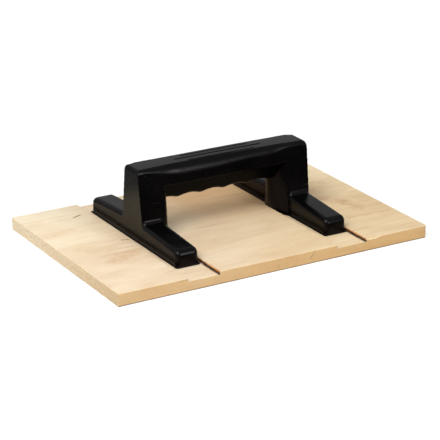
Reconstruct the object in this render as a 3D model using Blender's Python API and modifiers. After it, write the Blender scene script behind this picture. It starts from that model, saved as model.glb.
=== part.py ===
# Wooden hand float: a flat wooden board with a black one-piece bridge handle, held by four
# countersunk screws driven up through the board into the handle's feet.
#
# Frame: origin at the centre of the board's underside (the working face), +X right along the
# long side, +Y towards the back, +Z up. Dimensions are in millimetres; new_object() turns the
# geometry into metres.

import math

import bmesh
import bpy
from mathutils import Matrix, Vector

MM = 0.001
SIDES = ((-1, "left"), (1, "right"))
ENDS = ((-1, "front"), (1, "back"))
GAP = 0.3                 # clearance under the feet and round the screws

# ---- Board dimensions ----------------------------------------------------------------------
BOARD_L = 300.0           # along X
BOARD_W = 198.0           # along Y
BOARD_T = 11.0            # along Z
BOARD_EDGE = 0.7          # broken edge all round
TRENCH_PITCH = 143.7      # between the two trenches, which run the full width of the board
TRENCH_W = 29.3           # width at the mouth
TRENCH_D = 2.5
TRENCH_UNDERCUT = 0.9     # each wall leans back by this much at the floor
TRENCH_OVERRUN = 6.0      # the cutter passes the board's front and back by this much
TRENCH_RISE = 1.0         # and its top face by this much

# ---- Handle dimensions: heights are above the board's top, X and Y from the handle's centre -
HANDLE_X = 1.8            # the handle sits a little right of the board's centre
HANDLE_Y = 5.0            # and a little behind it
HANDLE_CENTRE = (HANDLE_X, HANDLE_Y, 0.0)
WALL = 3.0                # wall left round the pockets

FOOT_PITCH = 144.7        # between the centres of the feet
FOOT_W = 20.9
FOOT_L = 154.0
FOOT_CREST = 15.8         # top of the foot beside the post
FOOT_END = 12.1           # top of the foot at its two ends
FOOT_ROUND = 4.2
FOOT_FLOOR = BOARD_T - TRENCH_D + GAP      # Z where the feet start

FLANGE_W = 22.1           # narrow lip along the foot's base
FLANGE_H = 1.1
FLANGE_OVERHANG = 0.6     # past each end of the foot
FLANGE_CORNER = 3.6       # rounding of its upright edges
FLANGE_TOP_SHARE = 0.18   # its top edges get this share of that rounding

POST_OUTER = FOOT_PITCH / 2 + FOOT_W / 2   # in line with the foot's outer side
POST_INSET = 0.08         # the outer face starts this far inside that line
POST_SPLAY = 1.1          # and leans out by this much at the top
POST_INNER = 55.0         # inner side
POST_START = 0.4          # bottom of the post, inside its foot
POST_TOP_HALF = 11.4      # half depth (Y) at the top
POST_MID_HALF = 16.3      # half depth where the fillet into the foot starts
POST_BASE_HALF = 21.5     # half depth where the fillet meets the foot
POST_SWELL = 6.4          # rounding of the inner upright edges
POST_ROUND = 1.5          # rounding of the outer upright edges
POST_END_ROUND = 5.4      # rounding between the top and the outer face
POST_TOP_FRONT = 4.0      # rounding of the front and back edges of the top
POST_TOP_BACK = 1.2
POST_EDGE_SPLIT = 8.0     # edges nearer the outer face than this count as outer ones

FOOT_FLAT_HALF = POST_BASE_HALF + 1.0      # half length of the level top under the post

FILLET_TOP = 24.0         # height where the fillet's curve starts
FILLET_DROP = 12.0        # height of the curve
FILLET_SPAN = (9.0, 23.0)             # bottom and top of the fillet block
FILLET_ANGLES = (25, 45, 60, 75)      # degrees round the curve that get a loop of edges
FILLET_SIDE_INSET = 0.16  # inside the foot's sides
FILLET_DEPTH_INSET = 0.1  # inside the post's front and back

GRIP_TOP = 62.0
GRIP_TOP_INSET = 0.05     # the bar stops this far below the posts' tops
GRIP_BAND = 44.6          # below this the sides lean in
GRIP_UNDER = 30.2         # underside, at the crests between two fingers
GRIP_UNDER_HALF = 7.2     # half depth at the underside
GRIP_OVERLAP = 12.0       # the bar runs this far into each post
GRIP_FRONT = 7.2          # the front top edge is rounded far more than the back one
GRIP_BACK = 1.2
GRIP_BELOW = 2.8

FINGERS = 4
FINGER_PITCH = 22.6
FINGER_DEPTH = 2.0
FINGER_SHIFT = 2.9        # the row of hollows sits this far right of the handle's centre
FINGER_CUTTER_L = 60.0

GROOVE_W = 1.1            # the grooves along the grip's top
GROOVE_STEP = 6.4         # from one to the next, in Y
GROOVE_LONG = (-39.9, 42.1)
GROOVE_SHORT = (-30.9, 32.1)
GROOVE_D = 0.8            # depth of the middle one
GROOVE_SIDE_D = GROOVE_D + 0.35
GROOVE_RISE = 2.0         # the cutters pass the grip's top by this much

# ---- Screw dimensions ----------------------------------------------------------------------
SCREW_Y = 50.0            # each side of the handle's centre
SCREW_LEN = 16.0
SCREW_R = 2.0
SCREW_HEAD_R = 4.0
SCREW_HEAD_H = 2.4
SCREW_SINK = 0.4          # heads sit this far inside the working face
SCREW_TIP = SCREW_SINK + SCREW_LEN
SCREW_STEPS = 28          # round the screws and their holes
DRILL_START = -3.0        # the drills start below the working face

RECESS_W = 1.0            # arms of the cross recess
RECESS_L = 4.6
RECESS_D = 1.5
RECESS_OVERRUN = 0.6      # below the head's face
RECESS_W_TAPER = 0.35     # half width and half length at the bottom of the recess,
RECESS_L_TAPER = 0.30     # as shares of the full width and length

# Outer side from axis to axis, tip first: (radius, Z).
SCREW_PROFILE = (
    (0.0, SCREW_TIP),
    (0.9, SCREW_TIP - 2.6),
    (SCREW_R - 0.15, SCREW_TIP - 5.0),
    (SCREW_R, SCREW_SINK + SCREW_HEAD_H + 0.4),
    (SCREW_R + 0.15, SCREW_SINK + SCREW_HEAD_H),
    (SCREW_HEAD_R, SCREW_SINK + 0.35),
    (SCREW_HEAD_R, SCREW_SINK),
    (0.0, SCREW_SINK),
)
DRILL_PROFILE = (
    (0.0, SCREW_TIP + 0.8),
    (SCREW_R + GAP, SCREW_TIP + 0.4),
    (SCREW_R + GAP, SCREW_SINK + SCREW_HEAD_H + 0.5),
    (SCREW_HEAD_R + GAP, SCREW_SINK + 0.25),
    (SCREW_HEAD_R + GAP, DRILL_START),
    (0.0, DRILL_START),
)

# ---- Scene ---------------------------------------------------------------------------------
for old in list(bpy.data.objects):
    bpy.data.objects.remove(old, do_unlink=True)

parts = bpy.data.collections.new("wooden_hand_float")
cutters = bpy.data.collections.new("cutters")      # every helper form, added or cut away
bpy.context.scene.collection.children.link(parts)
bpy.context.scene.collection.children.link(cutters)


# ---- Materials -----------------------------------------------------------------------------
def material(name, colour, roughness, metallic):
    mat = bpy.data.materials.new(name)
    mat.use_nodes = True
    bsdf = mat.node_tree.nodes["Principled BSDF"]
    bsdf.inputs["Base Color"].default_value = (*colour, 1.0)
    bsdf.inputs["Roughness"].default_value = roughness
    bsdf.inputs["Metallic"].default_value = metallic
    mat.diffuse_color = (*colour, 1.0)
    return mat


def pale_wood():
    return material("pale_wood", colour=(0.80, 0.60, 0.38), roughness=0.62, metallic=0.0)


def black_plastic():
    return material("black_plastic", colour=(0.012, 0.012, 0.013), roughness=0.34, metallic=0.0)


def screw_steel(name):
    return material(name, colour=(0.62, 0.60, 0.55), roughness=0.35, metallic=1.0)


# ---- Modelling helpers ---------------------------------------------------------------------
def span(centre, half):
    return centre - half, centre + half


def frustum(bottom, top):
    """A six-sided solid; bottom and top are each (X range, Y range, Z)."""
    bm = bmesh.new()
    bmesh.ops.create_cube(bm, size=1.0)
    for v in bm.verts:
        x_range, y_range, z = top if v.co.z > 0 else bottom
        v.co = (x_range[v.co.x > 0], y_range[v.co.y > 0], z)
    return bm


def box(x_range, y_range, z_range):
    return frustum((x_range, y_range, z_range[0]), (x_range, y_range, z_range[1]))


def add_loops(bm, axis, positions):
    """Add a loop of edges across the axis at each position."""
    for position in positions:
        bmesh.ops.bisect_plane(bm, geom=bm.verts[:] + bm.edges[:] + bm.faces[:], dist=1e-6,
                               plane_co=Vector(axis) * position, plane_no=axis)


def profiled_block(x_range, z_range, half_depth, levels):
    """A block whose half depth at height z is half_depth(z), with loops of edges at levels."""
    bm = box(x_range, (-1.0, 1.0), z_range)
    add_loops(bm, (0, 0, 1), levels)
    for v in bm.verts:
        v.co.y *= half_depth(v.co.z)
    return bm


def new_object(name, bm, collection=cutters, mat=None, shift=(0.0, 0.0, 0.0)):
    """Move the geometry by shift, scale it from millimetres to metres and link it."""
    for v in bm.verts:
        v.co = (v.co + Vector(shift)) * MM
    mesh = bpy.data.meshes.new(name)
    bm.to_mesh(mesh)
    bm.free()
    obj = bpy.data.objects.new(name, mesh)
    collection.objects.link(obj)
    if mat is not None:
        mesh.materials.append(mat)
    if collection is cutters:
        obj.hide_render = True
        obj.display_type = "WIRE"
    return obj


def round_edges(obj, width, segments, weight):
    """Bevel the edges by weight(middle, direction), 1.0 being the full width."""
    bm = bmesh.new()
    bm.from_mesh(obj.data)
    layer = bm.edges.layers.float.new("bevel_weight_edge")
    for edge in bm.edges:
        if edge.calc_face_angle(0.0) > math.radians(25):
            start, end = (v.co / MM for v in edge.verts)
            edge[layer] = weight((start + end) / 2, (end - start).normalized())
    bm.to_mesh(obj.data)
    bm.free()
    mod = obj.modifiers.new("rounded edges", "BEVEL")
    mod.limit_method = "WEIGHT"
    mod.width = width * MM
    mod.segments = segments
    mod.use_clamp_overlap = True


def boolean(obj, other, operation="DIFFERENCE"):
    mod = obj.modifiers.new(operation.lower() + " " + other.name, "BOOLEAN")
    mod.operation = operation
    mod.solver = "EXACT"
    mod.object = other


def turned(name, profile, collection=cutters, mat=None):
    """A solid of revolution about Z."""
    bm = bmesh.new()
    points = [bm.verts.new((radius, 0, z)) for radius, z in profile]
    for pair in zip(points, points[1:]):
        bm.edges.new(pair)
    obj = new_object(name, bm, collection, mat)
    mod = obj.modifiers.new("turn", "SCREW")
    mod.axis = "Z"
    mod.angle = math.tau
    mod.steps = mod.render_steps = SCREW_STEPS
    mod.use_merge_vertices = True
    mod.merge_threshold = 0.00001
    mod.use_smooth_shade = True
    return obj


# ---- Board ---------------------------------------------------------------------------------
def trench_cutter(side, word):
    """Narrow at the mouth and wider at the floor."""
    def section(z):
        half_width = TRENCH_W / 2 + TRENCH_UNDERCUT * (BOARD_T - z) / TRENCH_D
        return (span(side * TRENCH_PITCH / 2, half_width),
                span(0.0, BOARD_W / 2 + TRENCH_OVERRUN), z)

    bm = frustum(section(BOARD_T - TRENCH_D), section(BOARD_T + TRENCH_RISE))
    return new_object("trench_cutter_" + word, bm)


def build_board():
    bm = box(span(0.0, BOARD_L / 2), span(0.0, BOARD_W / 2), (0.0, BOARD_T))
    obj = new_object("board", bm, parts, pale_wood())
    bevel = obj.modifiers.new("broken edges", "BEVEL")
    bevel.width = BOARD_EDGE * MM
    bevel.segments = 2
    bevel.limit_method = "ANGLE"
    bevel.angle_limit = math.radians(40)
    for side, word in SIDES:
        boolean(obj, trench_cutter(side, word))
    return obj


# ---- Handle forms --------------------------------------------------------------------------
def foot(side, name, collection=cutters, mat=None):
    """Level under the post, sloping down to both ends; rounded except round its base."""
    top = BOARD_T + FOOT_CREST
    bm = box(span(side * FOOT_PITCH / 2, FOOT_W / 2), span(0.0, FOOT_L / 2), (FOOT_FLOOR, top))
    add_loops(bm, (0, 1, 0), (-FOOT_FLAT_HALF, FOOT_FLAT_HALF))
    for v in bm.verts:
        if v.co.z > top - 0.01:
            out = max(0.0, (abs(v.co.y) - FOOT_FLAT_HALF) / (FOOT_L / 2 - FOOT_FLAT_HALF))
            v.co.z = top - (FOOT_CREST - FOOT_END) * out
    obj = new_object(name, bm, collection, mat, HANDLE_CENTRE)
    round_edges(obj, FOOT_ROUND, 4, lambda mid, along: float(mid.z > FOOT_FLOOR + 0.5))
    return obj


def flange(side, name):
    def weight(mid, along):
        if abs(along.z) > 0.9:
            return 1.0
        return FLANGE_TOP_SHARE if mid.z > FOOT_FLOOR + 0.5 else 0.0

    bm = box(span(side * FOOT_PITCH / 2, FLANGE_W / 2),
             span(0.0, FOOT_L / 2 + FLANGE_OVERHANG), (FOOT_FLOOR, FOOT_FLOOR + FLANGE_H))
    obj = new_object(name, bm, shift=HANDLE_CENTRE)
    round_edges(obj, FLANGE_CORNER, 3, weight)
    return obj


def post_half(z):
    """Half depth of a post at height z: a straight draft from top to bottom."""
    rise = (z - BOARD_T - FILLET_TOP) / (GRIP_TOP - FILLET_TOP)
    return POST_MID_HALF + (POST_TOP_HALF - POST_MID_HALF) * rise


def post(side, name):
    bottom, top = BOARD_T + POST_START, BOARD_T + GRIP_TOP

    def section(z, splay):
        x_range = sorted((side * POST_INNER, side * (POST_OUTER - POST_INSET + splay)))
        return x_range, span(0.0, post_half(z)), z

    def weight(mid, along):
        outer = abs(mid.x - HANDLE_X) >= POST_OUTER - POST_EDGE_SPLIT
        if abs(along.z) > 0.5:
            return POST_ROUND / POST_SWELL if outer else 1.0
        if mid.z < top - 0.5:
            return 0.0
        if abs(along.y) > 0.5:
            return POST_END_ROUND / POST_SWELL if outer else 0.0
        return (POST_TOP_FRONT if mid.y < HANDLE_Y else POST_TOP_BACK) / POST_SWELL

    bm = frustum(section(bottom, 0.0), section(top, POST_SPLAY))
    obj = new_object(name, bm, shift=HANDLE_CENTRE)
    round_edges(obj, POST_SWELL, 4, weight)
    return obj


def fillet(side, name):
    """The curved block that spreads each post into its foot, front and back."""
    def half_depth(z):
        drop = min(1.0, max(0.0, (BOARD_T + FILLET_TOP - z) / FILLET_DROP))
        spread = (POST_BASE_HALF - POST_MID_HALF) * (1 - math.sqrt(1 - drop * drop))
        return post_half(z) - FILLET_DEPTH_INSET + spread

    levels = [BOARD_T + FILLET_TOP - FILLET_DROP * math.sin(math.radians(angle))
              for angle in FILLET_ANGLES]
    bm = profiled_block(span(side * FOOT_PITCH / 2, FOOT_W / 2 - FILLET_SIDE_INSET),
                        [BOARD_T + height for height in FILLET_SPAN], half_depth, levels)
    return new_object(name, bm, shift=HANDLE_CENTRE)


def finger_cutter(index):
    """A wide cylinder across the grip that cuts a shallow arc between two crests."""
    half = FINGER_PITCH / 2
    radius = (half * half + FINGER_DEPTH * FINGER_DEPTH) / (2 * FINGER_DEPTH)
    x = (index - (FINGERS - 1) / 2) * FINGER_PITCH + FINGER_SHIFT
    z = BOARD_T + GRIP_UNDER + FINGER_DEPTH - radius
    bm = bmesh.new()
    bmesh.ops.create_cone(bm, cap_ends=True, segments=72, radius1=radius, radius2=radius,
                          depth=FINGER_CUTTER_L,
                          matrix=Matrix.Translation((x, 0.0, z))
                          @ Matrix.Rotation(math.pi / 2, 4, "X"))
    return new_object("finger_cutter_%d" % (index + 1), bm, shift=HANDLE_CENTRE)


def grip_bar():
    """Upright sides above the band, leaning in below it, with finger hollows underneath."""
    def half_depth(z):
        height = z - BOARD_T
        if height >= GRIP_BAND:
            return POST_TOP_HALF
        lean = (GRIP_BAND - height) / (GRIP_BAND - GRIP_UNDER)
        return POST_TOP_HALF + (GRIP_UNDER_HALF - POST_TOP_HALF) * lean

    def weight(mid, along):
        if abs(along.x) < 0.9:
            return 0.0
        if mid.z > BOARD_T + GRIP_TOP - 1:
            return 1.0 if mid.y < HANDLE_Y else GRIP_BACK / GRIP_FRONT
        return GRIP_BELOW / GRIP_FRONT if mid.z < BOARD_T + GRIP_UNDER + 1 else 0.0

    bm = profiled_block(span(0.0, POST_INNER + GRIP_OVERLAP),
                        (BOARD_T + GRIP_UNDER, BOARD_T + GRIP_TOP - GRIP_TOP_INSET),
                        half_depth, levels=(BOARD_T + GRIP_BAND,))
    obj = new_object("grip_bar", bm, shift=HANDLE_CENTRE)
    round_edges(obj, GRIP_FRONT, 5, weight)
    for index in range(FINGERS):
        boolean(obj, finger_cutter(index))
    return obj


def groove_cutters():
    """A long middle groove along the grip's top and a shorter, deeper one on each side."""
    grooves = (                     # X range, Y, depth
        (GROOVE_SHORT, -GROOVE_STEP, GROOVE_SIDE_D),
        (GROOVE_LONG, 0.0, GROOVE_D),
        (GROOVE_SHORT, GROOVE_STEP, GROOVE_SIDE_D),
    )
    top = BOARD_T + GRIP_TOP
    for number, (x_range, y, depth) in enumerate(grooves, start=1):
        bm = box(x_range, span(y, GROOVE_W / 2), (top - depth, top + GROOVE_RISE))
        yield new_object("ridge_cutter_%d" % number, bm, shift=HANDLE_CENTRE)


def pocket_cutters(side, word):
    """Pockets open below: one up the post and one on each side of every screw boss."""
    draft = 1.2                     # each side draws in by this much at the top
    boss_half = 7.0                 # half length of the solid left round a screw
    web_start = 14.0
    web_top = BOARD_T + FOOT_END - WALL
    pockets = [("post", span(0.0, POST_TOP_HALF - WALL), BOARD_T + GRIP_TOP - 9.0)]
    for end, _ in ENDS:
        web = sorted((end * web_start, end * (SCREW_Y - boss_half)))
        toe = sorted((end * (SCREW_Y + boss_half), end * (FOOT_L / 2 - FOOT_ROUND)))
        pockets += [("web", web, web_top), ("toe", toe, web_top - 1.0)]

    x = side * FOOT_PITCH / 2
    half_width = FOOT_W / 2 - WALL
    for number, (kind, (front, back), top) in enumerate(pockets):
        bm = frustum((span(x, half_width), (front, back), FOOT_FLOOR - 5.0),
                     (span(x, half_width - draft), (front + draft, back - draft), top))
        yield new_object("pocket_%s_%s_%d" % (kind, word, number), bm, shift=HANDLE_CENTRE)


def side_forms(side, word):
    return [flange(side, "flange_%s_form" % word),
            fillet(side, "fillet_%s_form" % word),
            post(side, "post_%s_form" % word)]


def build_handle():
    """The moulding starts as the left foot and takes in everything else."""
    obj = foot(-1, "handle", parts, black_plastic())
    for form in (*side_forms(-1, "left"), grip_bar(),
                 foot(1, "foot_right_form"), *side_forms(1, "right")):
        boolean(obj, form, "UNION")
    for cutter in groove_cutters():
        boolean(obj, cutter)
    for side, word in SIDES:
        for cutter in pocket_cutters(side, word):
            boolean(obj, cutter)
    obj.data.shade_smooth()
    obj.data.set_sharp_from_angle(angle=math.radians(32))
    return obj


# ---- Screws --------------------------------------------------------------------------------
def recess_cutter(name, turn):
    """One arm of the cross recess: a bar that narrows as it goes into the head."""
    bm = frustum(
        (span(0.0, RECESS_L / 2), span(0.0, RECESS_W / 2), SCREW_SINK - RECESS_OVERRUN),
        (span(0.0, RECESS_L * RECESS_L_TAPER), span(0.0, RECESS_W * RECESS_W_TAPER),
         SCREW_SINK + RECESS_D))
    bmesh.ops.rotate(bm, verts=bm.verts[:], cent=(0, 0, 0), matrix=Matrix.Rotation(turn, 3, "Z"))
    return new_object(name, bm)


def build_screw(name, place):
    screw = turned(name, SCREW_PROFILE, parts, screw_steel(name + "_steel"))
    screw.location = place
    for number, turn in enumerate((0.0, math.pi / 2), start=1):
        cutter = recess_cutter("%s_recess_%d" % (name, number), turn)
        cutter.location = place
        boolean(screw, cutter)


# ---- Assembly ------------------------------------------------------------------------------
board = build_board()
handle = build_handle()
for side, side_word in SIDES:
    for end, end_word in ENDS:
        place = Vector((HANDLE_X + side * FOOT_PITCH / 2, HANDLE_Y + end * SCREW_Y, 0.0)) * MM
        name = "screw_%s_%s" % (side_word, end_word)
        build_screw(name, place)
        drill = turned(name + "_drill", DRILL_PROFILE)
        drill.location = place
        boolean(board, drill)
        boolean(handle, drill)
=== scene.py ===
# A wooden hand float: a flat board with a black plastic handle standing on its top face.
# The board lies on the floor, long in X. The grip runs along X between two posts. Front is -Y, right is +X.
# Shapes are worked out in millimetres and written to the meshes in metres.
import math
from itertools import product
from types import SimpleNamespace
import bpy
import numpy as np
from mathutils import Matrix, Vector


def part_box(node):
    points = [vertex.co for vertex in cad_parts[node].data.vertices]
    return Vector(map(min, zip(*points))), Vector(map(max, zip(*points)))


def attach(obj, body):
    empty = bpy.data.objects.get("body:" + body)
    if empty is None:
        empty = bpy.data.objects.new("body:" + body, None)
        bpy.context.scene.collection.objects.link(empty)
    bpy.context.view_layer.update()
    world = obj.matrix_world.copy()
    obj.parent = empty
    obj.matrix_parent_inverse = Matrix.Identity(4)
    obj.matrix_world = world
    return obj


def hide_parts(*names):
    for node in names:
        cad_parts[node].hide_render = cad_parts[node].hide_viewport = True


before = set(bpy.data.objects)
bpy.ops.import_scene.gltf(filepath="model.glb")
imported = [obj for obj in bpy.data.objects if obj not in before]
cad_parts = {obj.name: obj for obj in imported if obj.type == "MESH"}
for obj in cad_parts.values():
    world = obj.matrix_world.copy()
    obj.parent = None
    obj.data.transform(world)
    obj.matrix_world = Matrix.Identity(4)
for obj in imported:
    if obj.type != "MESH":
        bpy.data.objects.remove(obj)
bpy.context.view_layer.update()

scene = bpy.context.scene

MM = 0.001
board_hi = np.array(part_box("board")[1]) / MM
handle_lo, handle_hi = (np.array(corner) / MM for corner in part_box("handle"))
HANDLE_X = (handle_lo[0] + handle_hi[0]) / 2     # the handle's centre
HANDLE_Y = (handle_lo[1] + handle_hi[1]) / 2
HANDLE_BASE = handle_lo[2]
BOARD_HALF_X, BOARD_HALF_Y, BOARD_TOP = board_hi
GRIP_TOP = handle_hi[2] - BOARD_TOP              # top of the grip above the board

FOOT_X, SCREW_Y = 72.35, 50.0                    # feet and screws, from the handle's centre
HOLE_R = 2.3                                     # screw holes, in the handle and the board


# ---- Distance fields ------------------------------------------------------------------------
# A piece is a function that gives the signed distance from any point to its surface.

def meet(a, b, radius):
    """Intersection whose convex edge is rounded."""
    outside = np.hypot(np.maximum(a + radius, 0), np.maximum(b + radius, 0))
    return np.minimum(np.maximum(a, b), -radius) + outside


def unite(a, b, radius):
    """Union whose concave corner is filled."""
    inside = np.hypot(np.maximum(radius - a, 0), np.maximum(radius - b, 0))
    return np.maximum(np.minimum(a, b), radius) - inside


def ease(start, end, x):
    """Smooth step from 0 at start to 1 at end."""
    t = np.clip((x - start) / (end - start), 0, 1)
    return t * t * (3 - 2 * t)


def rough_line(seed, half, pitch):
    """Smooth random function from -half to half, between -1 and 1, with a bump about every pitch."""
    count = int((half + half) / pitch) + 4
    knots = np.random.RandomState(seed).uniform(-1, 1, count)

    def value(x):
        place = np.clip((x + half) / pitch + 1, 0, count - 2.001)
        i = np.floor(place).astype(int)
        t = place - i
        t = t * t * (3 - 2 * t)
        return knots[i] * (1 - t) + knots[i + 1] * t

    return value


# ---- Surfaces -------------------------------------------------------------------------------

def grid_line(lo, hi, coarse, fine):
    """Grid coordinates with coarse spacing, and (from, to, spacing) stretches in fine."""
    line = [lo]
    while line[-1] < hi:
        x = line[-1]
        gap = min([spacing for a, b, spacing in fine if a - 1e-9 <= x < b] + [coarse])
        following = x + gap
        for a, _, _ in fine:
            if x < a < following:
                following = a
        line.append(following)
    line = np.array(line)
    return line[np.concatenate(([True], np.diff(line) > 0.04))]


def sample(field, grids, slab=24):
    """Field values on the grid, worked out a slab at a time to save memory."""
    gx, gy, gz = grids
    values = np.empty((len(gx), len(gy), len(gz)), np.float32)
    for i in range(0, len(gx), slab):
        values[i:i + slab] = field(gx[i:i + slab, None, None], gy[None, :, None], gz[None, None, :])
    return values


def crossed_cells(inside):
    """Cells with corners on both sides of the surface."""
    nx, ny, nz = (n - 1 for n in inside.shape)
    count = np.zeros((nx, ny, nz), np.int8)
    for a, b, c in product((0, 1), repeat=3):
        count += inside[a:a + nx, b:b + ny, c:c + nz]
    return np.argwhere((count > 0) & (count < 8))


def crossing_means(values, grids, cells):
    """The mean of the points where the surface crosses each cell's edges."""
    total = np.zeros((len(cells), 3))
    hits = np.zeros(len(cells))
    for axis in range(3):
        others = [k for k in range(3) if k != axis]
        for shift in product((0, 1), repeat=2):
            start = cells.copy()
            start[:, others] += shift
            end = start.copy()
            end[:, axis] += 1
            v0, v1 = values[tuple(start.T)], values[tuple(end.T)]
            cross = (v0 < 0) != (v1 < 0)
            t = np.where(cross, v0 / np.where(cross, v0 - v1, 1), 0)
            at = np.stack([grids[k][start[:, k]] for k in range(3)], 1).astype(float)
            at[:, axis] += t * (grids[axis][end[:, axis]] - grids[axis][start[:, axis]])
            total += at * cross[:, None]
            hits += cross
    return total / hits[:, None]


def crossed_edge_quads(inside, cells):
    """One outward quad round each grid edge that the surface crosses."""
    index = -np.ones([n - 1 for n in inside.shape], np.int64)
    index[tuple(cells.T)] = np.arange(len(cells))
    quads = []
    for axis in range(3):
        side_a, side_b = (axis + 1) % 3, (axis + 2) % 3
        lower, upper = [slice(None)] * 3, [slice(None)] * 3
        lower[axis], upper[axis] = slice(0, -1), slice(1, None)
        a, b = inside[tuple(lower)], inside[tuple(upper)]
        for flip, hit in ((False, a & ~b), (True, ~a & b)):
            edges = np.argwhere(hit)
            ring = []
            for shift in ((-1, -1), (0, -1), (0, 0), (-1, 0)):
                cell = edges.copy()
                cell[:, [side_a, side_b]] += shift
                ring.append(index[tuple(cell.T)])
            quad = np.stack(ring, 1)
            quads.append(quad[:, ::-1] if flip else quad)
    return np.concatenate(quads)


def gradient(field, points, h=0.02):
    """Slope of the field at each point, by central differences."""
    x, y, z = points.T
    return np.stack([field(x + dx, y + dy, z + dz) - field(x - dx, y - dy, z - dz)
                     for dx, dy, dz in np.eye(3) * h], 1) / (2 * h)


def settle(field, verts, cell_size, rounds=4):
    """Pull the vertices onto the surface, each staying near its own cell."""
    start = verts
    for _ in range(rounds):
        slope = gradient(field, verts)
        distance = field(*verts.T)
        verts = verts - slope * (distance / np.maximum((slope * slope).sum(1), 0.25))[:, None]
        verts = np.clip(verts, start - cell_size * 0.45, start + cell_size * 0.45)
    return verts


def surface(name, field, grids):
    """Surface nets: a vertex in each crossed cell and a quad for each crossed edge."""
    values = sample(field, grids)
    inside = values < 0
    cells = crossed_cells(inside)
    quads = crossed_edge_quads(inside, cells)
    cell_size = np.stack([np.diff(line)[cells[:, k]] for k, line in enumerate(grids)], 1)
    verts = settle(field, crossing_means(values, grids, cells), cell_size)

    mesh = bpy.data.meshes.new(name)
    mesh.vertices.add(len(verts))
    mesh.vertices.foreach_set("co", (verts * MM).astype(np.float32).ravel())
    mesh.loops.add(len(quads) * 4)
    mesh.loops.foreach_set("vertex_index", quads.astype(np.int32).ravel())
    mesh.polygons.add(len(quads))
    mesh.polygons.foreach_set("loop_start", np.arange(0, len(quads) * 4, 4, dtype=np.int32))
    mesh.polygons.foreach_set("use_smooth", np.ones(len(quads), bool))
    mesh.update()
    mesh.validate()
    normals = gradient(field, verts)
    normals /= np.maximum(np.linalg.norm(normals, axis=1), 1e-6)[:, None]
    mesh.normals_split_custom_set_from_vertices(normals.tolist())
    obj = bpy.data.objects.new(name, mesh)
    scene.collection.objects.link(obj)
    return obj


# ---- Handle ---------------------------------------------------------------------------------
# off_x and off_y are measured from the handle's centre, far_x and far_y are their sizes,
# and height is measured from the board's top face.
FOOT_HALF_X, FOOT_HALF_Y = 10.45, 77.0           # at the base
FOOT_TAPER, FLANK_TAPER = 0.09, 0.03
CREST, CREST_END, CREST_FALL_Y = 15.8, 12.1, 21  # a foot's height, at its end, and where it falls
OUTER_BASE, OUTER_TOP = 82.9, 83.9               # outer faces of feet and posts
FOOT_ROUND, COVE = 5.0, 3.9
POST_FACE, POST_MIDDLE = 62.3, 55.0              # a post's inner side, at its edges and its middle
POST_HALF_Y, POST_FLARE = 11.4, 0.13             # half depth at the top, growing downwards
LEAN, BULGE = 0.07, 1.2                          # the grip's front leans back and stands out
BAND_TOP, UNDER, UNDER_HALF_Y = 44.5, 30.2, 7.2  # band below the grip's sides, and its underside
PITCH, HOLLOW, HOLLOW_SHIFT, WAVE_SOFT = 22.6, 2.0, 2.9, 0.03   # finger hollows
EDGE_R, EDGE_FRONT, EDGE_SWELL = 1.0, 1.2, 3.4   # the top's edges: back, extra at the front
DRILL_TOP = 17.2
GROOVE_DEPTH, CROWN_CURVE = 1.6, 0.0008
# Grooves along the top: y, left end, right end, half width.
GROOVES = ((0.2, -41.6, 42.0, 0.75), (-6.4, -32.0, 31.5, 0.7), (6.1, -32.3, 31.8, 0.75))
# Pockets cored into each foot from below: far_y from, far_y to, height.
POCKETS = ((-8.2, 8.2, GRIP_TOP - 9), (14, 43, CREST_END - 3), (57, FOOT_HALF_Y - 4.3, CREST_END - 4))
POCKET_WALL = 3


def post_half(height):
    return POST_HALF_Y + (GRIP_TOP - height) * POST_FLARE


def post_sheer(far_y, height):
    """The front and back faces of the posts."""
    return (far_y - post_half(height)) * 0.992


def outer_face(far_x, height):
    return far_x - (OUTER_BASE + (OUTER_TOP - OUTER_BASE) * np.clip(height / GRIP_TOP, 0, 1))


def in_front(off_y):
    return ease(1, -1, off_y)


def front_fullness(off_x):
    """How far the grip's front is filled out, along its length."""
    return ease(-80, -38, off_x) - 0.36 * ease(-12, 32, off_x) - 0.6 * ease(46, 66, off_x)


def grip_half(off_x, off_y, height):
    """Half depth of the grip, widening into the posts at its ends."""
    swell = LEAN * (GRIP_TOP - height) + BULGE * front_fullness(off_x)
    middle = POST_HALF_Y + in_front(off_y) * swell
    return middle + ease(42, 60, np.abs(off_x)) * (post_half(height) - middle)


def feet_and_posts(far_x, far_y, z, height):
    """Foot and post with a cove between them, and the lip round the foot's base."""
    fall = np.clip((far_y - CREST_FALL_Y) / (FOOT_HALF_Y - CREST_FALL_Y), 0, 1) ** 1.15
    crest = CREST - (CREST - CREST_END) * fall
    end = far_y - (FOOT_HALF_Y - FOOT_TAPER * (z - HANDLE_BASE))
    foot = meet(height - crest, end, FOOT_ROUND)
    profile = unite(foot, post_sheer(far_y, height), COVE)
    flank = (FOOT_X - FOOT_HALF_X + FLANK_TAPER * (z - HANDLE_BASE)) - far_x
    soft = 1.5 + 2.7 * ease(25, 13, height)
    body = meet(profile, np.maximum(outer_face(far_x, height), flank), soft)

    lip_plan = meet(np.abs(far_x - FOOT_X) - (FOOT_HALF_X + 0.9), far_y - (FOOT_HALF_Y + 0.05), 1.3)
    lip = meet(lip_plan, z - (HANDLE_BASE + 0.6), 0.25)
    return unite(body, lip, 0.35)


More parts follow.
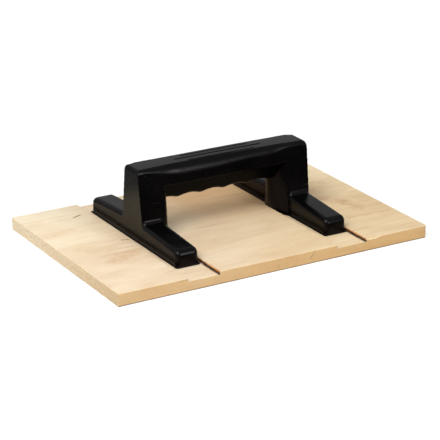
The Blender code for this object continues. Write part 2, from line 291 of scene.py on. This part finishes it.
def post_bulge(off_x, off_y, z, height):
    """A post's inner side, bulging inwards from crisp front and back edges."""
    far_x, far_y = np.abs(off_x), np.abs(off_y)
    on_right = off_x > 0
    half = post_half(height)
    k = np.clip(far_y / half, 0, 1.3)
    rise = np.clip(height, 0, GRIP_TOP)
    face = np.where(on_right, POST_FACE - 1.9 + 0.065 * rise, POST_FACE - 2.4)
    middle = np.where(on_right, face - 4.5 - 8.7 * (rise / 40) ** 0.62, POST_MIDDLE)
    power = np.where(on_right, 2.0, 4.0)
    slope = (face - middle) * power / half * k ** (power - 1)
    reach = middle + (face - middle) * k ** power
    bulge = meet((reach - far_x) / np.hypot(1, slope), post_sheer(far_y, height), 0.35)
    bottom = np.where(on_right, HANDLE_BASE + 0.3 - z, 0.35 - height)
    return np.maximum(np.maximum(bulge, outer_face(far_x, height)), bottom)


def grip_field(off_x, off_y, height):
    """Flat sides, a band that leans in below them, and finger hollows underneath."""
    far_x, far_y = np.abs(off_x), np.abs(off_y)
    side = far_y - grip_half(off_x, off_y, height)
    swell = LEAN * (GRIP_TOP - BAND_TOP) + BULGE * front_fullness(off_x)
    band_half = POST_HALF_Y + in_front(off_y) * swell
    lean = (band_half - UNDER_HALF_Y) / (BAND_TOP - UNDER)
    band = (far_y - band_half + (BAND_TOP - height) * lean) / np.hypot(1, lean)
    wave = np.sqrt(np.sin(math.pi * (off_x - HOLLOW_SHIFT) / PITCH) ** 2 + WAVE_SOFT)
    low, high = math.sqrt(WAVE_SOFT), math.sqrt(1 + WAVE_SOFT)
    under = UNDER + HOLLOW * (wave - low) / (high - low) - height
    grip = meet(meet(side, band, 0.9), under, 3.4)
    return np.maximum(grip, far_x - 68)          # the ends are buried in the posts


def round_top(body, off_x, off_y, height):
    """A slightly crowned top: tight edge at the back, wider at both ends, widest in front."""
    arch = np.where(off_x > 0, 0.6, 0.05) * (off_x / 80) ** 2
    crown = height - GRIP_TOP - 0.15 + CROWN_CURVE * off_y * off_y + arch
    edge = EDGE_R + EDGE_FRONT * in_front(off_y)
    end_edge = np.where(off_x > 0, 5.4, 3.9)
    edge = edge + (end_edge - edge) * ease(OUTER_TOP - 10, OUTER_TOP - 3, np.abs(off_x))
    body = meet(body, crown, edge)
    full = front_fullness(off_x)
    radius = EDGE_SWELL + 9.2 * full
    half = grip_half(off_x, off_y, height)
    swell = np.hypot(np.maximum(radius - off_y - half, 0),
                     np.maximum(crown + radius - 2.5 * full, 0)) - radius
    return np.maximum(body, np.minimum(swell, height - BAND_TOP))


def handle_field(x, y, z):
    off_x, off_y, height = x - HANDLE_X, y - HANDLE_Y, z - BOARD_TOP
    far_x, far_y = np.abs(off_x), np.abs(off_y)
    body = feet_and_posts(far_x, far_y, z, height)
    body = unite(body, post_bulge(off_x, off_y, z, height), 0.06)
    blend = 0.06 + 1.1 * ease(10.8, 8.5, far_y) * ease(42, 37, height)
    body = unite(body, grip_field(off_x, off_y, height), blend)
    body = round_top(body, off_x, off_y, height)

    for groove_y, left, right, half in GROOVES:
        # The front groove is cut deeper towards the left.
        deeper = 1.1 * ease(20, -10, off_x) if groove_y < 0 else 0.0
        bed = GRIP_TOP - GROOVE_DEPTH - CROWN_CURVE * groove_y * groove_y - deeper - height
        along = np.maximum(np.abs(off_x - (left + right) / 2) - (right - left) / 2, 0)
        groove = np.maximum(np.hypot(along, off_y - groove_y) - half, bed)
        body = meet(body, -groove, 0.22)

    body = np.maximum(body, HANDLE_BASE - z)
    for lo, hi, pocket_top in POCKETS:
        along = np.abs(far_y - (lo + hi) / 2) - (hi - lo) / 2
        plan = np.maximum(np.abs(far_x - FOOT_X) - (FOOT_HALF_X - POCKET_WALL), along)
        body = np.maximum(body, -np.maximum(plan, height - pocket_top))
    drill = np.maximum(np.hypot(far_x - FOOT_X, far_y - SCREW_Y) - HOLE_R, z - DRILL_TOP)
    return np.maximum(body, -drill)


def handle_grids():
    """Fine at the outer and inner post faces, the grooves, the lip and the top."""
    top = BOARD_TOP + GRIP_TOP
    return (
        grid_line(HANDLE_X - 86.5, HANDLE_X + 86.5, coarse=0.88, fine=[
            (HANDLE_X + side * face - 2.6, HANDLE_X + side * face + 2.6, 0.5)
            for side in (-1, 1) for face in (82.8, POST_FACE)]),
        grid_line(HANDLE_Y - 79.5, HANDLE_Y + 79.5, coarse=0.86, fine=[
            (HANDLE_Y - 7.4, HANDLE_Y - 5.0, 0.24),
            (HANDLE_Y - 1.2, HANDLE_Y + 1.2, 0.24),
            (HANDLE_Y + 5.0, HANDLE_Y + 7.4, 0.24)]),
        grid_line(HANDLE_BASE - 0.9, top + 1.2, coarse=0.86, fine=[
            (HANDLE_BASE - 0.9, HANDLE_BASE + 2.1, 0.4),
            (BOARD_TOP + GRIP_TOP - 3.2, BOARD_TOP + GRIP_TOP + 1.2, 0.34)]))


# ---- Board ----------------------------------------------------------------------------------
# Two trenches run across the board in Y, under the handle's feet.
TRENCH_X, TRENCH_HALF, TRENCH_DEPTH, UNDERCUT = 71.85, 14.65, 2.5, 0.6
CORNER_R, CORNER_EXTRA = 1.2, 1.6                # extra at the front right corner
EDGE_ROUND, EDGE_WANDER, EDGE_ZONE = 0.55, 0.25, 3
SINK_R, SINK_Z, SINK_TAPER, SINK_TOP = 4.35, 0.45, 0.78, 9.5
CHIP_X, CHIP_HALF_X, CHIP_HALF_Z = 93.3, 7.2, 1.5

SIDES = (-1, 1)
# Trench walls by (trench side, wall side): fine and slow wander along Y.
walls_fine = {(s, e): rough_line(11 + 3 * s + e, BOARD_HALF_Y, 2.3) for s in SIDES for e in SIDES}
walls_slow = {(s, e): rough_line(31 + 3 * s + e, BOARD_HALF_Y, 17.0) for s in SIDES for e in SIDES}
edge_x = rough_line(51, BOARD_HALF_X, 6.0)
edge_y = rough_line(52, BOARD_HALF_Y, 6.0)
bed_y = rough_line(53, BOARD_HALF_Y, 9.0)


def board_field(x, y, z):
    corner = CORNER_R + CORNER_EXTRA * ((x > 0) & (y < 0))
    plan = meet(np.abs(x) - BOARD_HALF_X, np.abs(y) - BOARD_HALF_Y, corner)
    edge = (EDGE_ROUND + EDGE_WANDER * edge_x(x) * (np.abs(y) > BOARD_HALF_Y - EDGE_ZONE)
            + EDGE_WANDER * edge_y(y) * (np.abs(x) > BOARD_HALF_X - EDGE_ZONE))
    body = meet(plan, np.abs(z - BOARD_TOP / 2) - BOARD_TOP / 2, edge)
    for side in SIDES:
        off = x - side * TRENCH_X
        rough = np.where(off > 0,
                         0.2 * walls_fine[side, 1](y) + 0.14 * walls_slow[side, 1](y),
                         0.28 * walls_fine[side, -1](y) + 0.14 * walls_slow[side, -1](y))
        undercut = UNDERCUT * np.clip((BOARD_TOP - z) / TRENCH_DEPTH, -0.2, 1.2)
        wall = np.abs(off) - (TRENCH_HALF + undercut + rough)
        bed = (BOARD_TOP - TRENCH_DEPTH + 0.06 * bed_y(y + 13 * side)) - z
        body = meet(body, -np.maximum(wall, bed), 0.22)
    # Screw holes, countersunk from below.
    for sx, sy in product(SIDES, repeat=2):
        from_axis = np.hypot(x - (HANDLE_X + sx * FOOT_X), y - (HANDLE_Y + sy * SCREW_Y))
        radius = np.clip(SINK_R - (z - SINK_Z) * SINK_TAPER, HOLE_R, SINK_R)
        body = np.maximum(body, -np.maximum(from_axis - radius, z - SINK_TOP))
    # A splinter torn out of the front edge.
    chip_half_y = 2.6 + 0.7 * walls_fine[1, 1](x * 3 - 250)
    chip = (((x - CHIP_X) / CHIP_HALF_X) ** 2 + ((y + BOARD_HALF_Y + 0.2) / chip_half_y) ** 2
            + ((z - BOARD_TOP) / CHIP_HALF_Z) ** 2)
    chip = (np.sqrt(chip) - 1) * 1.4
    return meet(body, -chip, 0.12)


def board_grids():
    """Fine at the edges, the chip, the trench walls and the screw holes."""
    half_x, half_y, top = BOARD_HALF_X, BOARD_HALF_Y, BOARD_TOP
    fine_x = [(-half_x - 1, -half_x + 2.4, 0.4), (half_x - 2.4, half_x + 1, 0.4), (85, 102, 0.7)]
    fine_y = [(-half_y - 1, -half_y + 3.2, 0.4), (half_y - 2.4, half_y + 1, 0.4)]
    for side in SIDES:
        right_wall = side * TRENCH_X + TRENCH_HALF
        left_wall = side * TRENCH_X - TRENCH_HALF
        fine_x.append((left_wall - 2.0, left_wall + 1.6, 0.36))
        fine_x.append((right_wall - 1.6, right_wall + 2.0, 0.36))
        fine_x.append((HANDLE_X + side * FOOT_X - 5, HANDLE_X + side * FOOT_X + 5, 0.5))
        fine_y.append((HANDLE_Y + side * SCREW_Y - 5, HANDLE_Y + side * SCREW_Y + 5, 0.5))
    fine_z = [(-0.6, 1.2, 0.3), (1.2, 3.2, 0.6), (top - 3.2, top + 0.7, 0.3)]
    return (grid_line(-half_x - 1, half_x + 1, coarse=5.0, fine=fine_x),
            grid_line(-half_y - 1, half_y + 1, coarse=1.5, fine=fine_y),
            grid_line(-0.6, top + 0.7, coarse=1.2, fine=fine_z))


# ---- Node graphs ----------------------------------------------------------------------------
class Signal:
    """A node's output; arithmetic on it adds Math nodes."""

    def __init__(self, graph, socket):
        self.graph, self.socket = graph, socket

    def math(self, operation, *others, clamp=False):
        return self.graph.math(operation, self, *others, clamp=clamp)

    def __add__(self, other):
        return self.math("ADD", other)

    def __sub__(self, other):
        return self.math("SUBTRACT", other)

    def __rsub__(self, other):
        return self.graph.math("SUBTRACT", other, self)

    def __mul__(self, other):
        return self.math("MULTIPLY", other)

    def __abs__(self):
        return self.math("ABSOLUTE")

    def times_add(self, factor, offset):
        return self.math("MULTIPLY_ADD", factor, offset)

    def ramp(self, start, end, low=0.0, high=1.0, smooth=True):
        """Low where the signal is at start, high where it is at end."""
        return self.graph.out("MapRange", {
            "Value": self, "From Min": start, "From Max": end, "To Min": low, "To Max": high,
        }, "Result", interpolation_type="SMOOTHSTEP" if smooth else "LINEAR")


class Graph:
    """Short names for building a node tree."""

    def __init__(self, tree, coordinates="Object"):
        self.tree = tree
        self.coordinates = self.out("TexCoord", output=coordinates)

    def put(self, socket, value):
        value = getattr(value, "socket", value)
        if isinstance(value, bpy.types.NodeSocket):
            self.tree.links.new(value, socket)
        else:
            socket.default_value = value

    def add(self, kind, inputs={}, **settings):
        node = self.tree.nodes.new("ShaderNode" + kind)
        for name, value in settings.items():
            setattr(node, name, value)
        for key, value in inputs.items():
            self.put(node.inputs[key], value)
        return node

    def out(self, kind, inputs={}, output=0, **settings):
        return Signal(self, self.add(kind, inputs, **settings).outputs[output])

    def math(self, operation, *values, clamp=False):
        return self.out("Math", dict(enumerate(values)), operation=operation, use_clamp=clamp)

    def length(self, a, b):
        return (a * a + b * b).math("SQRT")

    def mapped(self, scale, shift=(0, 0, 0), turn=(0, 0, 0)):
        return self.out("Mapping", {"Vector": self.coordinates, "Scale": scale,
                                    "Location": shift, "Rotation": turn})

    def noise_at(self, vector, detail, rough=0.55, warp=0.0):
        return self.out("TexNoise", {"Vector": vector, "Scale": 1.0, "Detail": detail,
                                     "Roughness": rough, "Distortion": warp}, "Fac")

    def layers(self, table):
        """Noise layers by name: scale (per metre), shift, detail, roughness[, warp[, turn]]."""
        def layer(scale, shift, detail, rough, warp=0.0, turn=(0, 0, 0)):
            return self.noise_at(self.mapped(scale, shift, turn), detail, rough, warp)
        return SimpleNamespace(**{name: layer(*row) for name, row in table.items()})

    def mix(self, factor, a, b, blend="MIX"):
        return self.out("Mix", {0: factor, 6: a, 7: b}, 2, data_type="RGBA", blend_type=blend)

    def tinted(self, mask, colour, tint, amount=1.0):
        """Colour multiplied by tint where the mask is."""
        return self.mix(mask, colour, self.mix(amount, colour, tint, "MULTIPLY"))

    def stained(self, colour, stains):
        """Colour with (mask, stain colour) pairs laid over it in turn."""
        for mask, stain in stains:
            colour = self.mix(mask, colour, stain)
        return colour

    def split(self, vector):
        return [Signal(self, s) for s in self.add("SeparateXYZ", {0: vector}).outputs]

    def millimetres(self):
        return self.split(self.mapped((1000, 1000, 1000)))

    def bump(self, height, strength, distance):
        return self.out("Bump", {"Height": height, "Strength": strength, "Distance": distance})


def new_material(name):
    """A material and its graph."""
    mat = bpy.data.materials.new(name)
    mat.use_nodes = True
    return mat, Graph(mat.node_tree)


def set_shader(graph, inputs):
    shader = graph.tree.nodes["Principled BSDF"]
    for name, value in inputs.items():
        graph.put(shader.inputs[name], value)


def rgb(*channels):
    """sRGB 0..255 to linear."""
    def linear(c):
        c /= 255
        return c / 12.92 if c <= 0.04045 else ((c + 0.055) / 1.055) ** 2.4
    return (*map(linear, channels), 1.0)


# ---- Board wood -----------------------------------------------------------------------------
WOOD_LAYERS = {
    # Wander of the growth rings.
    "slow": ((5, 14, 14), (0, 0, 0), 2, 0.5),
    "slow_deep": ((9, 30, 30), (3.1, 1.7, 0.4), 2, 0.5),
    # Fibres, pores and flecks, all long in X.
    "fibre": ((13, 900, 900), (0, 0, 0), 5, 0.62),
    "fibre_fine": ((45, 2600, 2600), (7, 0, 0), 3, 0.6),
    "streak": ((5, 170, 170), (2, 9, 4), 3, 0.55, 0.3),
    "pore": ((150, 4200, 4200), (1, 5, 2), 2, 0.5),
    "tone": ((7, 11, 11), (0.3, 4, 1), 2, 0.5),
    "blot": ((26, 62, 62), (4, 2, 6), 3, 0.6, 0.5),
    "patch": ((13, 34, 34), (8, 5, 2), 2, 0.5, 0.8),
    "mottle": ((330, 900, 900), (1, 2, 3), 3, 0.65),
    "vein": ((9, 210, 210), (6, 3, 1), 2, 0.5, 0.9),
    # End grain, ragged painted shade in the trenches, and ragged stains.
    "tube": ((900, 900, 420), (5, 2, 8), 3, 0.65),
    "column": ((6, 520, 40), (2, 2, 8), 3, 0.6),
    "burn": ((300, 160, 300), (3, 3, 3), 3, 0.6),
    "torn": ((160, 260, 260), (2, 7, 5), 3, 0.6),
    "loose": ((70, 90, 90), (9, 4, 3), 2, 0.5),
}
# Ragged stains on the top: x and y of both ends, width, amount, colour.
STAINS = (
    (-122.0, -36.0, -99.0, -28.0, 9.0, 0.34, rgb(200, 148, 104)),
    (-110.0, -22.0, -92.0, -24.0, 6.0, 0.22, rgb(200, 148, 104)),
    (-130.0, -2.0, -112.0, -10.0, 12.0, 0.35, rgb(212, 176, 132)),
    (-146.0, 40.0, -120.0, 46.0, 7.0, 0.30, rgb(214, 178, 134)),
    (108.0, 4.0, 121.0, -14.0, 9.0, 0.36, rgb(182, 140, 96)),
    (121.0, -14.0, 124.0, -33.0, 9.0, 0.34, rgb(186, 142, 98)),
    (100.0, -49.5, 146.0, -50.5, 2.6, 0.32, rgb(178, 132, 88)),
    (125.0, 43.0, 132.0, 35.0, 3.0, 0.26, rgb(164, 130, 96)),
    (-40.0, -60.0, -6.0, -55.5, 3.0, 0.12, rgb(188, 142, 98)),
    (-30.0, -38.0, 30.0, -34.0, 6.0, 0.14, rgb(198, 156, 112)),
    (0.0, -74.0, 46.0, -70.0, 3.0, 0.12, rgb(198, 156, 112)),
)
# Small dark marks, same columns: on the top in x and y, on the front edge in x and z.
TOP_MARKS = (
    (-103.8, 71.0, -95.8, 74.4, 1.1, 0.9, rgb(122, 78, 46)),
    (-93.0, 3.2, -84.5, 1.2, 1.1, 0.85, rgb(136, 86, 52)),
)
FRONT_MARKS = (
    (30.0, 4.2, 35.2, 10.6, 0.6, 0.5, rgb(120, 78, 44)),
    (-1.0, 2.0, -0.4, 5.0, 0.7, 0.35, rgb(140, 95, 56)),
)
PITH_Y, PITH_DEPTH, RING_PITCH = 36.0, 70.0, 4.6   # pith this far to the front and below


def growth_rings(graph, wood, x, y, z):
    """Rings round a pith below the board, which wander as they run along it."""
    wander = (wood.slow - 0.5).times_add(26.0, x * -0.055)
    pith_y = y + PITH_Y + wander
    pith_z = z + (wood.slow_deep - 0.5).times_add(16.0, PITH_DEPTH)
    radius = graph.length(pith_y, pith_z)
    ring = radius.math("DIVIDE", RING_PITCH).math("FRACT")
    late = ring.ramp(0.35, 0.93) * ring.ramp(1.0, 0.955)
    return late * graph.noise_at(radius * 0.11, detail=2).ramp(0.32, 0.7, low=0.25)


def long_grain(graph, wood, rings, pore):
    dark = rgb(212, 182, 143)
    light = graph.mix(wood.tone.ramp(0.3, 0.7), rgb(241, 226, 201), rgb(233, 213, 183))
    veins = wood.vein.ramp(0.60, 0.70) * wood.patch.ramp(0.36, 0.56, low=0.05, high=0.42)
    return graph.stained(light, (
        (wood.patch.ramp(0.40, 0.70, high=0.28), dark),
        (wood.blot.ramp(0.42, 0.74, high=0.28), dark),
        (rings * 0.13, dark),
        (wood.streak.ramp(0.45, 0.75, high=0.20), dark),
        (veins, rgb(184, 138, 92)),
        (wood.fibre.ramp(0.3, 0.75, high=0.17), dark),
        (wood.fibre_fine.ramp(0.45, 0.8, high=0.16), dark),
        (wood.mottle.ramp(0.42, 0.70, high=0.20), dark),
        (pore * 0.25, rgb(158, 112, 72))))


def end_grain(graph, wood, rings, y):
    colour = graph.mix(wood.column.ramp(0.35, 0.7, high=0.35),
                       rgb(234, 217, 186), rgb(214, 190, 152))
    colour = graph.stained(colour, (
        (rings * 0.14, rgb(188, 152, 106)),
        (wood.tube.ramp(0.46, 0.70, high=0.62), rgb(160, 128, 88))))
    # Painted shade: the end grain is darker towards the front.
    return graph.tinted(y.ramp(60.0, -99.0, high=0.9, smooth=False), colour, rgb(228, 215, 196))


def trench_painted_shade(graph, colour, burn, x, z, nx, nz):
    """Painted shade in the trenches: walls orange along the lip and nearly black below."""
    def from_trench():
        return abs(abs(x) - TRENCH_X)

    top, half = BOARD_TOP, TRENCH_HALF
    wall = z.ramp(top - 0.05, top - 0.35) * from_trench().ramp(half - 1.2, half - 0.9)
    wall = wall * from_trench().ramp(half + 1.7, half + 1.4) * abs(nx).ramp(0.35, 0.75)
    depth = (burn - 0.5).times_add(1.6, z)
    wall_shade = graph.mix(depth.ramp(top - 0.6, top - 1.2), rgb(196, 120, 56), rgb(34, 20, 13))
    # Painted shade along the right wall of each trench: an orange rim at the lip and a dark strip of bed.
    reach = abs(x - (TRENCH_X + half + 0.2)).math("MINIMUM", abs(x - (half - TRENCH_X + 0.2)))
    rim = reach.ramp(1.3, 0.5) * z.ramp(top - 0.5, top - 0.2)
    bed = reach.ramp(1.9, 0.9) * z.ramp(top - 1.6, top - 2.2) * nz.ramp(0.5, 0.8)
    return graph.stained(colour, (
        (wall * 0.95, wall_shade),
        (rim * burn.ramp(0.32, 0.6, low=0.25, high=0.9), rgb(198, 128, 46)),
        (bed * burn.ramp(0.3, 0.55, low=0.6, high=0.95), rgb(56, 29, 8))))


def stroke(graph, axes, ax, ay, bx, by, width, face):
    """A soft stroke from a to b, on one face only."""
    dx, dy = bx - ax, by - ay
    px, py = axes[0] - ax, axes[1] - ay
    t = (px * dx + py * dy).math("DIVIDE", dx * dx + dy * dy, clamp=True)
    distance = graph.length(px - t * dx, py - t * dy)
    return distance.ramp(width, width * 0.25) * face


def painted_light_and_shade_patches(graph, colour, x, y, topside):
    """Broad patches of painted light and shade: paler, as if more lit, at the left and the right back;
    browner, as painted shadow of the grip, in the middle of the back.
    """
    for mask, tint in (
            (x.ramp(-88.0, -112.0) * y.ramp(-32.0, 18.0), (1.11, 1.17, 1.22, 1)),
            (x.ramp(96.0, 138.0) * y.ramp(-28.0, 30.0), (1.16, 1.24, 1.32, 1)),
            (x.ramp(-50.0, 10.0) * x.ramp(92.0, 62.0) * y.ramp(-42.0, 44.0), rgb(240, 224, 209))):
        colour = graph.tinted(mask * topside, colour, tint)
    return colour


def marks_and_painted_shade(graph, colour, wood, x, y, z, nx, ny, topside):
    """Ragged stains, small marks, and a painted shade line under the front and right edges, where the board
    meets the floor.
    """
    ragged_axes = ((wood.loose - 0.5).times_add(16.0, x), (wood.torn - 0.5).times_add(9.0, y))
    ragged = wood.torn.ramp(0.34, 0.62, low=0.35)
    for *line, amount, tint in STAINS:
        mask = stroke(graph, ragged_axes, *line, topside) * ragged
        colour = graph.mix(mask * amount, colour, tint)
    front = (ny * -1.0).ramp(0.6, 0.9)
    for marks, axes, face in ((TOP_MARKS, (x, y), topside), (FRONT_MARKS, (x, z), front)):
        for *line, amount, tint in marks:
            colour = graph.mix(stroke(graph, axes, *line, face) * amount, colour, tint)
    # Painted contact shade: a dark line along the bottom of the front and right faces.
    facing = (ny * -1.0).ramp(0.1, 0.5).math("MAXIMUM", nx.ramp(0.1, 0.5))
    return graph.mix(z.ramp(1.15, 0.45) * facing * 0.9, colour, rgb(84, 54, 32))


def wood_material():
    mat, graph = new_material("board_wood")
    x, y, z = graph.millimetres()
    nx, ny, nz = graph.split(graph.out("NewGeometry", output="Normal"))
    wood = graph.layers(WOOD_LAYERS)
    rings = growth_rings(graph, wood, x, y, z)
    pore = wood.pore.ramp(0.63, 0.74)
    end = abs(nx).ramp(0.55, 0.85)
    sawn_face_shade = abs(ny).ramp(0.55, 0.85)
    topside = nz.ramp(0.6, 0.9)

    colour = long_grain(graph, wood, rings, pore)
    colour = graph.mix(end, colour, end_grain(graph, wood, rings, y))
    # Painted shade: the front and back faces are tinted darker than the top.
    colour = graph.tinted(sawn_face_shade, colour, rgb(229, 209, 176), amount=0.95)
    # Painted shade: the middle and right of the board, which get less light, are tinted a little yellower.
    colour = graph.tinted(x.ramp(-70.0, 60.0), colour, rgb(251, 246, 233))
    # Painted shade in the trenches, made ragged with noise.
    colour = trench_painted_shade(graph, colour, wood.burn, x, z, nx, nz)
    # Painted light and shade in broad patches on the top.
    colour = painted_light_and_shade_patches(graph, colour, x, y, topside)
    # Stains, marks, and painted contact shade along the bottom edges.
    colour = marks_and_painted_shade(graph, colour, wood, x, y, z, nx, ny, topside)

    grain = wood.fibre * 0.55 + wood.fibre_fine * 0.3 - pore * 0.35 + rings * 0.25
    height = grain * (1.0 - end) + (wood.tube + wood.column) * (end * 0.9)
    set_shader(graph, {
        "Base Color": colour,
        "Roughness": wood.fibre.ramp(0.25, 0.8, low=0.56, high=0.74),
        "IOR": 1.42,
        "Normal": graph.bump(height, strength=0.42, distance=0.00022)})
    return mat


# ---- Handle plastic and screw steel ---------------------------------------------------------
PLASTIC_LAYERS = {
    "mottle": ((210, 210, 210), (0, 0, 0), 3, 0.5),
    "cloud": ((38, 38, 38), (2, 5, 1), 3, 0.55),
    "fine": ((2200, 2200, 2200), (0, 0, 0), 2, 0.5),
    "scratch_x": ((60, 1500, 900), (4, 1, 9), 2, 0.5, 0, (0.1, 0, 0.12)),
    "scratch_y": ((1400, 90, 800), (1, 8, 3), 2, 0.5, 0, (0, 0.2, 0.5)),
    "speck": ((520, 520, 520), (9, 3, 6), 1, 0.4),
}
STEEL_LAYERS = {
    "fine": ((900, 900, 900), (0, 0, 0), 3, 0.6),
    "blot": ((240, 240, 240), (3, 3, 3), 3, 0.6),
}


def plastic_material():
    """Near-black plastic with scratches, specks and worn edges."""
    mat, graph = new_material("handle_plastic")
    x, y, z = graph.millimetres()
    plastic = graph.layers(PLASTIC_LAYERS)
    mottle, cloud = plastic.mottle, plastic.cloud
    scratch = plastic.scratch_x.ramp(0.70, 0.76).math("MAXIMUM", plastic.scratch_y.ramp(0.72, 0.78))
    geometry = graph.add("NewGeometry").outputs
    worn = Signal(graph, geometry["Pointiness"]).ramp(0.53, 0.60)
    facing_up = graph.split(geometry["Normal"])[2]

    black = graph.mix(cloud.ramp(0.3, 0.75), (0.0008, 0.0007, 0.0009, 1), (0.0015, 0.0014, 0.0016, 1))
    grey = (0.02, 0.02, 0.021, 1)
    colour = graph.stained(black, (
        (scratch * 0.15, grey),
        (plastic.speck.ramp(0.76, 0.80) * 0.3, (0.06, 0.056, 0.052, 1)),
        (worn * 0.12, grey)))
    rough = mottle.ramp(0.3, 0.75, low=0.23, high=0.27) + cloud.ramp(0.35, 0.75, low=-0.01, high=0.03)

    # Painted shade: reflections are dimmed on faces that look down, most of all under the right end of the
    # grip.
    nook = x.ramp(36.0, 52.0) * x.ramp(90.0, 86.0) * z.ramp(44.0, 50.0) * facing_up.ramp(-0.02, -0.12)
    shine = facing_up.ramp(-0.30, -0.02, low=0.12, high=0.5) * (1.0 - nook * 0.75)

    # A fine ring and two lines across the top.
    top = BOARD_TOP + GRIP_TOP

    def line_across(at, width):
        return abs(x - at).ramp(width, 0.0) * z.ramp(top - 3, top - 1)

    from_ring = graph.length(x - (HANDLE_X + 62.5), y - (HANDLE_Y + 1.5)) - 2.6
    ring = abs(from_ring).ramp(0.5, 0.0) * z.ramp(top - 2, top - 1)
    height = mottle * 0.5 + plastic.fine * 0.12 - scratch * 0.12 - ring * 0.55
    height = height - line_across(HANDLE_X + 66.5, 0.5) * 0.3
    height = height - line_across(HANDLE_X - 61.0, 0.6) * 0.3
    set_shader(graph, {
        "Base Color": colour,
        "Roughness": rough + scratch * 0.14,
        "IOR": 1.23,
        # Painted reflection: faces that don't look up get a warm tint in their reflections, as of the wood
        # below.
        "Specular Tint": graph.mix(facing_up.ramp(0.15, 0.6), (1.0, 0.87, 0.84, 1), (1.0, 0.99, 1.02, 1)),
        "Specular IOR Level": shine,
        "Normal": graph.bump(height, strength=0.30, distance=0.00004)})
    return mat


def steel_material():
    mat, graph = new_material("screw_steel")
    steel = graph.layers(STEEL_LAYERS)
    set_shader(graph, {
        "Base Color": graph.mix(steel.blot.ramp(0.35, 0.7), (0.62, 0.60, 0.55, 1), (0.48, 0.46, 0.42, 1)),
        "Metallic": 1.0,
        "Roughness": steel.fine.ramp(0.3, 0.7, low=0.26, high=0.44),
        "Normal": graph.bump(steel.fine, strength=0.3, distance=0.00008)})
    return mat


# ---- Floor, light and camera ----------------------------------------------------------------
WHITE = (1, 1, 1, 1)


def mix_shaders(graph, factor, a, b):
    return graph.out("MixShader", {0: factor, 1: a, 2: b})


def build_floor():
    """A floor that the camera, reflections and other rays each see differently."""
    bpy.ops.mesh.primitive_plane_add(size=12.0, location=(0, 0, -0.0002))
    floor = bpy.context.object
    floor.name = "studio_floor"
    mat = bpy.data.materials.new("studio_floor")
    mat.use_nodes = True
    mat.node_tree.nodes.clear()
    graph = Graph(mat.node_tree)
    rays = graph.add("LightPath").outputs
    plain = graph.out("BsdfDiffuse", {"Color": (0.86, 0.86, 0.86, 1)})
    # The camera sees grey with a glow that grows away from the middle.
    away = graph.out("VectorMath", {0: graph.coordinates}, "Value", operation="LENGTH")
    glow = graph.out("Emission", {
        "Color": WHITE, "Strength": away.ramp(0.25, 1.10, low=0.68, high=0.95)})
    soft = graph.out("BsdfDiffuse", {"Color": (0.40, 0.40, 0.40, 1)})
    both = graph.out("AddShader", {0: soft, 1: glow})
    # Reflections see a floor that brightens towards the left back.
    across = graph.out("VectorMath", {0: graph.coordinates, 1: (-0.5, 0.86, 0.0)}, "Value",
                       operation="DOT_PRODUCT")
    dim = graph.out("Emission", {"Strength": across.ramp(-0.20, 0.22, low=0.03, high=0.30)})
    dull = mix_shaders(graph, rays["Is Glossy Ray"], plain, dim)
    graph.add("OutputMaterial", {0: mix_shaders(graph, rays["Is Camera Ray"], dull, both)})
    floor.data.materials.append(mat)


def build_world():
    """White to the camera; a warm sky for light and a neutral one for reflections."""
    world = bpy.data.worlds.new("studio")
    scene.world = world
    world.use_nodes = True
    world.node_tree.nodes.clear()
    graph = Graph(world.node_tree, coordinates="Generated")
    rays = graph.add("LightPath").outputs
    up = graph.split(graph.coordinates)[2]
    level = graph.out("Mix", {
        0: rays["Is Glossy Ray"],
        2: up.ramp(0.05, 0.85, low=0.12, high=0.44),
        3: up.ramp(-0.05, 0.30, low=0.22, high=0.52)})
    warmth = graph.mix(rays["Is Glossy Ray"], (1.0, 0.955, 0.89, 1), WHITE)
    lit = graph.out("Background", {"Color": warmth, "Strength": level})
    white = graph.out("Background", {"Color": WHITE, "Strength": 1.0})
    graph.add("OutputWorld", {0: mix_shaders(graph, rays["Is Camera Ray"], lit, white)})


def softbox(name, at, size, power, aim=(0, 0, 0.02)):
    data = bpy.data.lights.new(name, "AREA")
    data.shape = "RECTANGLE"
    data.size, data.size_y = size
    data.energy = power
    obj = bpy.data.objects.new(name, data)
    scene.collection.objects.link(obj)
    obj.location = at
    obj.rotation_euler = (Vector(aim) - Vector(at)).to_track_quat("-Z", "Y").to_euler()


def build_camera(at, azimuth, elevation, roll, lens):
    """Angles in degrees; azimuth is turned from -Y towards +X."""
    azimuth, elevation, roll = map(math.radians, (azimuth, elevation, roll))
    back = Vector((math.sin(azimuth) * math.cos(elevation),
                   -math.cos(azimuth) * math.cos(elevation), math.sin(elevation)))
    right = (-back).cross(Vector((0, 0, 1))).normalized()
    up = right.cross(-back)
    right, up = (right * math.cos(roll) + up * math.sin(roll),
                 up * math.cos(roll) - right * math.sin(roll))
    cam = bpy.data.objects.new("camera", bpy.data.cameras.new("camera"))
    scene.collection.objects.link(cam)
    cam.data.sensor_width = 36.0
    cam.data.lens = lens
    cam.data.clip_end = 50.0
    place = Matrix((right, up, back)).transposed().to_4x4()
    place.translation = Vector(at)
    cam.matrix_world = place
    scene.camera = cam


# ---- Build ----------------------------------------------------------------------------------
def dress(obj, mat):
    obj.data.materials.clear()
    obj.data.materials.append(mat)


handle = surface("float_handle", handle_field, handle_grids())
board = surface("float_board", board_field, board_grids())
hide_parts("board")
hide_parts("handle")
dress(board, wood_material())
dress(handle, plastic_material())
for piece in (board, handle):
    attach(piece, "root")

steel = steel_material()
for name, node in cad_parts.items():
    if name.startswith("screw_"):
        for slot in node.material_slots:
            slot.material = steel

build_floor()
build_world()
softbox("softbox_key", at=(-0.82, -0.56, 1.16), size=(0.85, 0.85), power=18.8)
softbox("softbox_front", at=(0.35, -0.98, 0.50), size=(0.16, 0.36), power=3.4, aim=(0, 0, 0.07))
softbox("softbox_left", at=(-1.3, 0.25, 0.75), size=(0.8, 0.8), power=3.0)
build_camera(at=(-0.7962, -1.3427, 0.6071), azimuth=-30.72, elevation=20.86, roll=0.15,
             lens=158.17909)
scene.view_settings.view_transform = "Standard"
